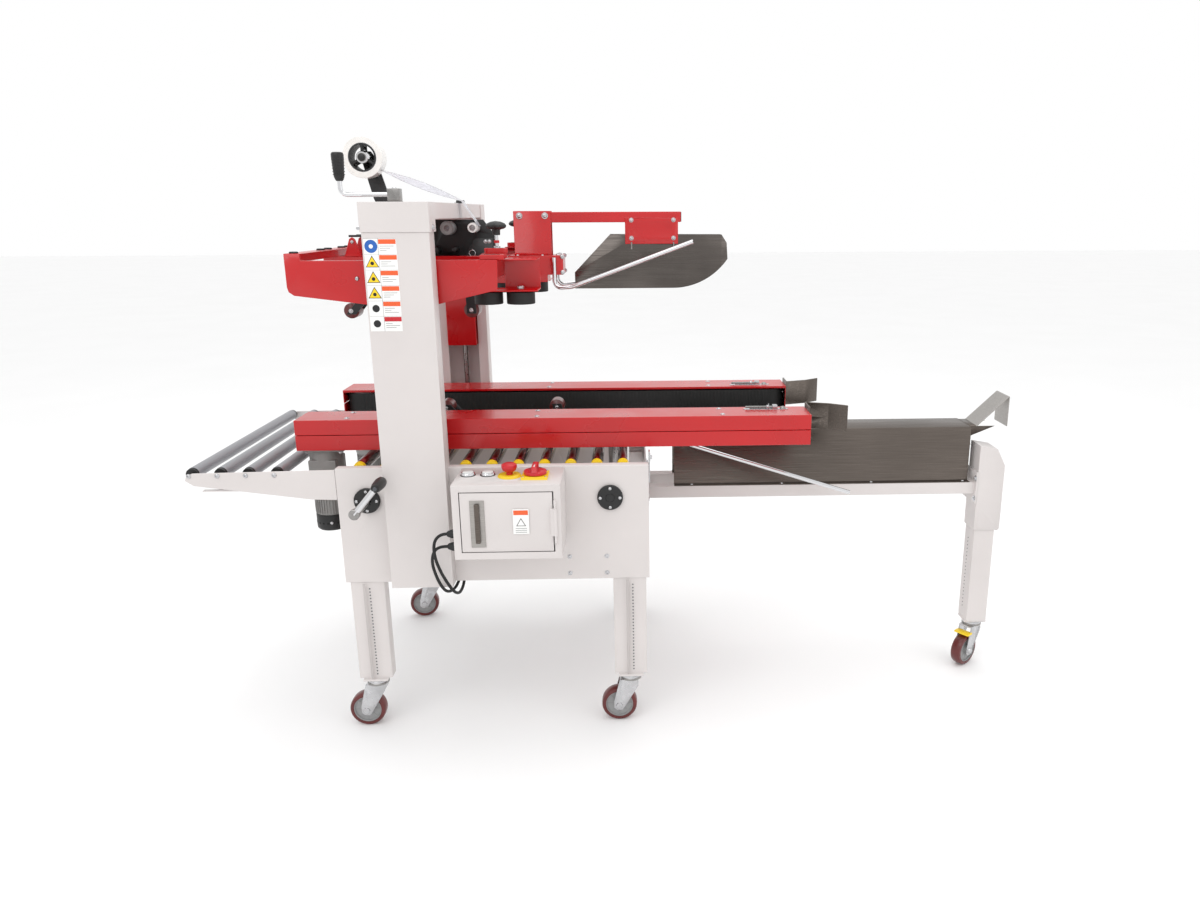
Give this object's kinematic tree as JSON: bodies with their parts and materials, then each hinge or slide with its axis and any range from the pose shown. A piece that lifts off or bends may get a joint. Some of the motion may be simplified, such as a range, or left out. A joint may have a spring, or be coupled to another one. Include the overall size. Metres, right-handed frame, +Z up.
{
  "type": "carton sealer machine",
  "caption": "Side-belt carton sealer with a roller bed, height-adjustable taping head, flap-folding blade and infeed table, on casters.",
  "frame": {"origin": "centre of the footprint box, on the floor under the casters", "axes": "+X along the carton path from outfeed to infeed, +Y across the machine away from the control box, +Z up"},
  "size_m": [2.303, 0.968, 1.605],
  "materials": {
    "white_coat": "fine-textured powder coat",
    "red_coat": "glossy powder coat",
    "stainless": "brushed",
    "bright_steel": "bright zinc and chrome plate",
    "roller_steel": "zinc-plated tube",
    "axle_steel": "bright drawn bar",
    "black_steel": "satin black",
    "cast_grey": "cast, grey lacquer",
    "black_rubber": "matt",
    "red_tyre": "polyurethane tread",
    "black_plastic": "moulded",
    "red_plastic": "moulded",
    "clear_button": "moulded",
    "tape_film": "packing tape"
  },
  "bodies": {
    "frame": {"side_plates": "white_coat", "bed_cross_members": "white_coat", "bed_rollers": "roller_steel", "roller_axles": "axle_steel", "outfeed_arms": "white_coat", "columns": "white_coat", "top_beam": "white_coat", "tape_roll_arm": "black_steel", "lower_tape_unit": "black_steel", "infeed_rails": "white_coat", "infeed_trough": "stainless", "lower_flap_rods": "bright_steel", "control_box": "white_coat", "control_cables": "black_rubber", "flanges_and_bolts": "black_steel"},
    "legs": {"leg_tubes": "white_coat"},
    "head": {"head_frame": "red_coat", "flap_arm": "red_coat", "flap_blade": "stainless", "upper_flap_rods": "bright_steel", "squeeze_rollers": "black_rubber", "upper_tape_unit": "black_steel", "tape_web": "tape_film"},
    "front_screw": {"front_lead_screw": "axle_steel", "mast_crank": "bright_steel"},
    "rear_screw": {"rear_lead_screw": "axle_steel"},
    "width_screw": {"width_crank": "bright_steel"},
    "tape_roll": {"upper_tape_roll": "tape_film"},
    "door": {"cabinet_door": "white_coat"},
    "latch": {"door_latch": "bright_steel"},
    "start_push": {"start_button": "clear_button"},
    "stop_push": {"stop_button": "clear_button"},
    "emergency_head": {"emergency_stop": "red_plastic"},
    "switch_knob": {"main_switch": "red_plastic"},
    "upper_entry_arm": {"upper_entry_applicator": "black_steel"},
    "upper_exit_arm": {"upper_exit_applicator": "black_steel"},
    "lower_entry_arm": {"lower_entry_applicator": "black_steel"},
    "lower_exit_arm": {"lower_exit_applicator": "black_steel"},
    "swivel_1": {"caster_fork_1": "bright_steel"},
    "wheel_1": {"caster_wheel_1": "red_tyre"},
    "swivel_2": {"caster_fork_2": "bright_steel"},
    "wheel_2": {"caster_wheel_2": "red_tyre"},
    "swivel_3": {"caster_fork_3": "bright_steel"},
    "wheel_3": {"caster_wheel_3": "red_tyre"},
    "swivel_4": {"caster_fork_4": "bright_steel"},
    "wheel_4": {"caster_wheel_4": "red_tyre"},
    "swivel_5": {"caster_fork_5": "bright_steel"},
    "wheel_5": {"caster_wheel_5": "red_tyre"},
    "outfeed_1": {"outfeed_roller_1": "roller_steel"},
    "outfeed_2": {"outfeed_roller_2": "roller_steel"},
    "outfeed_3": {"outfeed_roller_3": "roller_steel"},
    "outfeed_4": {"outfeed_roller_4": "roller_steel"},
    "front_belt_unit": {"front_belt_housing": "red_coat", "front_belt": "black_rubber", "front_belt_motor": "cast_grey"},
    "front_pulley": {"front_drive_pulley": "cast_grey"},
    "rear_belt_unit": {"rear_belt_housing": "red_coat", "rear_belt": "black_rubber", "rear_belt_motor": "cast_grey"},
    "rear_pulley": {"rear_drive_pulley": "cast_grey"}
  },
  "joints": [
    {"name": "leg_height", "type": "slide", "parent": "frame", "child": "legs", "axis": [0, 0, 1], "range_m": [-0.1, 0.03]},
    {"name": "swivel_1", "type": "hinge", "parent": "legs", "child": "swivel_1", "pos_m": [-0.7035, -0.292, 0.12], "axis": [0, 0, 1], "continuous": true},
    {"name": "wheel_1_spin", "type": "hinge", "parent": "swivel_1", "child": "wheel_1", "pos_m": [-0.7375, -0.292, 0.05], "axis": [0, 1, 0], "continuous": true},
    {"name": "swivel_2", "type": "hinge", "parent": "legs", "child": "swivel_2", "pos_m": [0.0055, -0.292, 0.12], "axis": [0, 0, 1], "continuous": true},
    {"name": "wheel_2_spin", "type": "hinge", "parent": "swivel_2", "child": "wheel_2", "pos_m": [-0.0285, -0.292, 0.05], "axis": [0, 1, 0], "continuous": true},
    {"name": "swivel_3", "type": "hinge", "parent": "legs", "child": "swivel_3", "pos_m": [-0.7035, 0.42, 0.12], "axis": [0, 0, 1], "continuous": true},
    {"name": "wheel_3_spin", "type": "hinge", "parent": "swivel_3", "child": "wheel_3", "pos_m": [-0.73717, 0.41527, 0.05], "axis": [-0.1392, 0.9903, 0], "continuous": true},
    {"name": "swivel_4", "type": "hinge", "parent": "legs", "child": "swivel_4", "pos_m": [0.0055, 0.42, 0.12], "axis": [0, 0, 1], "continuous": true},
    {"name": "wheel_4_spin", "type": "hinge", "parent": "swivel_4", "child": "wheel_4", "pos_m": [-0.0033, 0.38716, 0.05], "axis": [-0.9659, 0.2588, 0], "continuous": true},
    {"name": "swivel_5", "type": "hinge", "parent": "legs", "child": "swivel_5", "pos_m": [1.0915, 0.006, 0.12], "axis": [0, 0, 1], "continuous": true},
    {"name": "wheel_5_spin", "type": "hinge", "parent": "swivel_5", "child": "wheel_5", "pos_m": [1.06471, -0.01493, 0.05], "axis": [-0.6157, 0.788, 0], "continuous": true},
    {"name": "outfeed_1_spin", "type": "hinge", "parent": "frame", "child": "outfeed_1", "pos_m": [-1.1355, 0.064, 0.742], "axis": [0, 1, 0], "continuous": true},
    {"name": "outfeed_2_spin", "type": "hinge", "parent": "frame", "child": "outfeed_2", "pos_m": [-1.0625, 0.064, 0.742], "axis": [0, 1, 0], "continuous": true},
    {"name": "outfeed_3_spin", "type": "hinge", "parent": "frame", "child": "outfeed_3", "pos_m": [-0.9895, 0.064, 0.742], "axis": [0, 1, 0], "continuous": true},
    {"name": "outfeed_4_spin", "type": "hinge", "parent": "frame", "child": "outfeed_4", "pos_m": [-0.9165, 0.064, 0.742], "axis": [0, 1, 0], "continuous": true},
    {"name": "head_lift", "type": "slide", "parent": "frame", "child": "head", "axis": [0, 0, 1], "range_m": [-0.21, 0], "deforming": ["tape_web"]},
    {"name": "mast_crank_turn", "type": "hinge", "parent": "frame", "child": "front_screw", "pos_m": [-0.5455, -0.327, 1.1], "axis": [0, 0, 1], "range_deg": [-7600, 100]},
    {"name": "rear_screw_turn", "type": "hinge", "parent": "frame", "child": "rear_screw", "pos_m": [-0.5455, 0.455, 1.1], "axis": [0, 0, 1], "range_deg": [-7600, 100]},
    {"name": "front_belt_slide", "type": "slide", "parent": "frame", "child": "front_belt_unit", "axis": [0, 1, 0], "range_m": [-0.065, 0.065]},
    {"name": "rear_belt_slide", "type": "slide", "parent": "frame", "child": "rear_belt_unit", "axis": [0, 1, 0], "range_m": [-0.065, 0.065]},
    {"name": "width_crank_turn", "type": "hinge", "parent": "frame", "child": "width_screw", "pos_m": [-0.6815, 0.064, 0.67], "axis": [0, 1, 0], "range_deg": [-2360, 2360]},
    {"name": "front_drive", "type": "hinge", "parent": "front_belt_unit", "child": "front_pulley", "pos_m": [-0.8375, -0.14, 0.82], "axis": [0, 0, 1], "continuous": true},
    {"name": "rear_drive", "type": "hinge", "parent": "rear_belt_unit", "child": "rear_pulley", "pos_m": [-0.8375, 0.268, 0.82], "axis": [0, 0, 1], "continuous": true},
    {"name": "tape_roll_turn", "type": "hinge", "parent": "frame", "child": "tape_roll", "pos_m": [-0.7195, 0.064, 1.55], "axis": [0, 1, 0], "continuous": true},
    {"name": "upper_entry_swing", "type": "hinge", "parent": "head", "child": "upper_entry_arm", "pos_m": [-0.4435, 0.064, 1.232], "axis": [0, 1, 0], "range_deg": [-5, 60]},
    {"name": "upper_exit_swing", "type": "hinge", "parent": "head", "child": "upper_exit_arm", "pos_m": [-0.6815, 0.064, 1.232], "axis": [0, 1, 0], "range_deg": [-4, 45]},
    {"name": "lower_entry_swing", "type": "hinge", "parent": "frame", "child": "lower_entry_arm", "pos_m": [-0.1715, 0.064, 0.735], "axis": [0, 1, 0], "range_deg": [-60, 5]},
    {"name": "lower_exit_swing", "type": "hinge", "parent": "frame", "child": "lower_exit_arm", "pos_m": [-0.4285, 0.064, 0.735], "axis": [0, 1, 0], "range_deg": [-45, 4]},
    {"name": "door_hinge", "type": "hinge", "parent": "frame", "child": "door", "pos_m": [-0.1755, -0.479, 0.65], "axis": [0, 0, 1], "range_deg": [0, 110]},
    {"name": "latch_turn", "type": "hinge", "parent": "door", "child": "latch", "pos_m": [-0.3675, -0.476, 0.696], "axis": [0, 1, 0], "range_deg": [-90, 0]},
    {"name": "start_press", "type": "slide", "parent": "frame", "child": "start_push", "axis": [0, 0, 1], "range_m": [-0.004, 0], "stiffness_N_per_m": 400, "springref_m": 0.002},
    {"name": "stop_press", "type": "slide", "parent": "frame", "child": "stop_push", "axis": [0, 0, 1], "range_m": [-0.004, 0], "stiffness_N_per_m": 400, "springref_m": 0.002},
    {"name": "emergency_press", "type": "slide", "parent": "frame", "child": "emergency_head", "axis": [0, 0, 1], "range_m": [-0.006, 0], "stiffness_N_per_m": 600, "springref_m": 0.003},
    {"name": "switch_turn", "type": "hinge", "parent": "frame", "child": "switch_knob", "pos_m": [-0.2285, -0.404, 0.77], "axis": [0, 0, 1], "range_deg": [0, 90]}
  ],
  "couplings": [
    {"joint": "mast_crank_turn", "follows": "head_lift", "rad_per_m": 628.32},
    {"joint": "rear_screw_turn", "follows": "head_lift", "rad_per_m": 628.32},
    {"joint": "rear_belt_slide", "follows": "front_belt_slide", "ratio": -1},
    {"joint": "width_crank_turn", "follows": "front_belt_slide", "rad_per_m": 628.32},
    {"joint": "upper_exit_swing", "follows": "upper_entry_swing", "ratio": 0.75},
    {"joint": "lower_exit_swing", "follows": "lower_entry_swing", "ratio": 0.75}
  ]
}
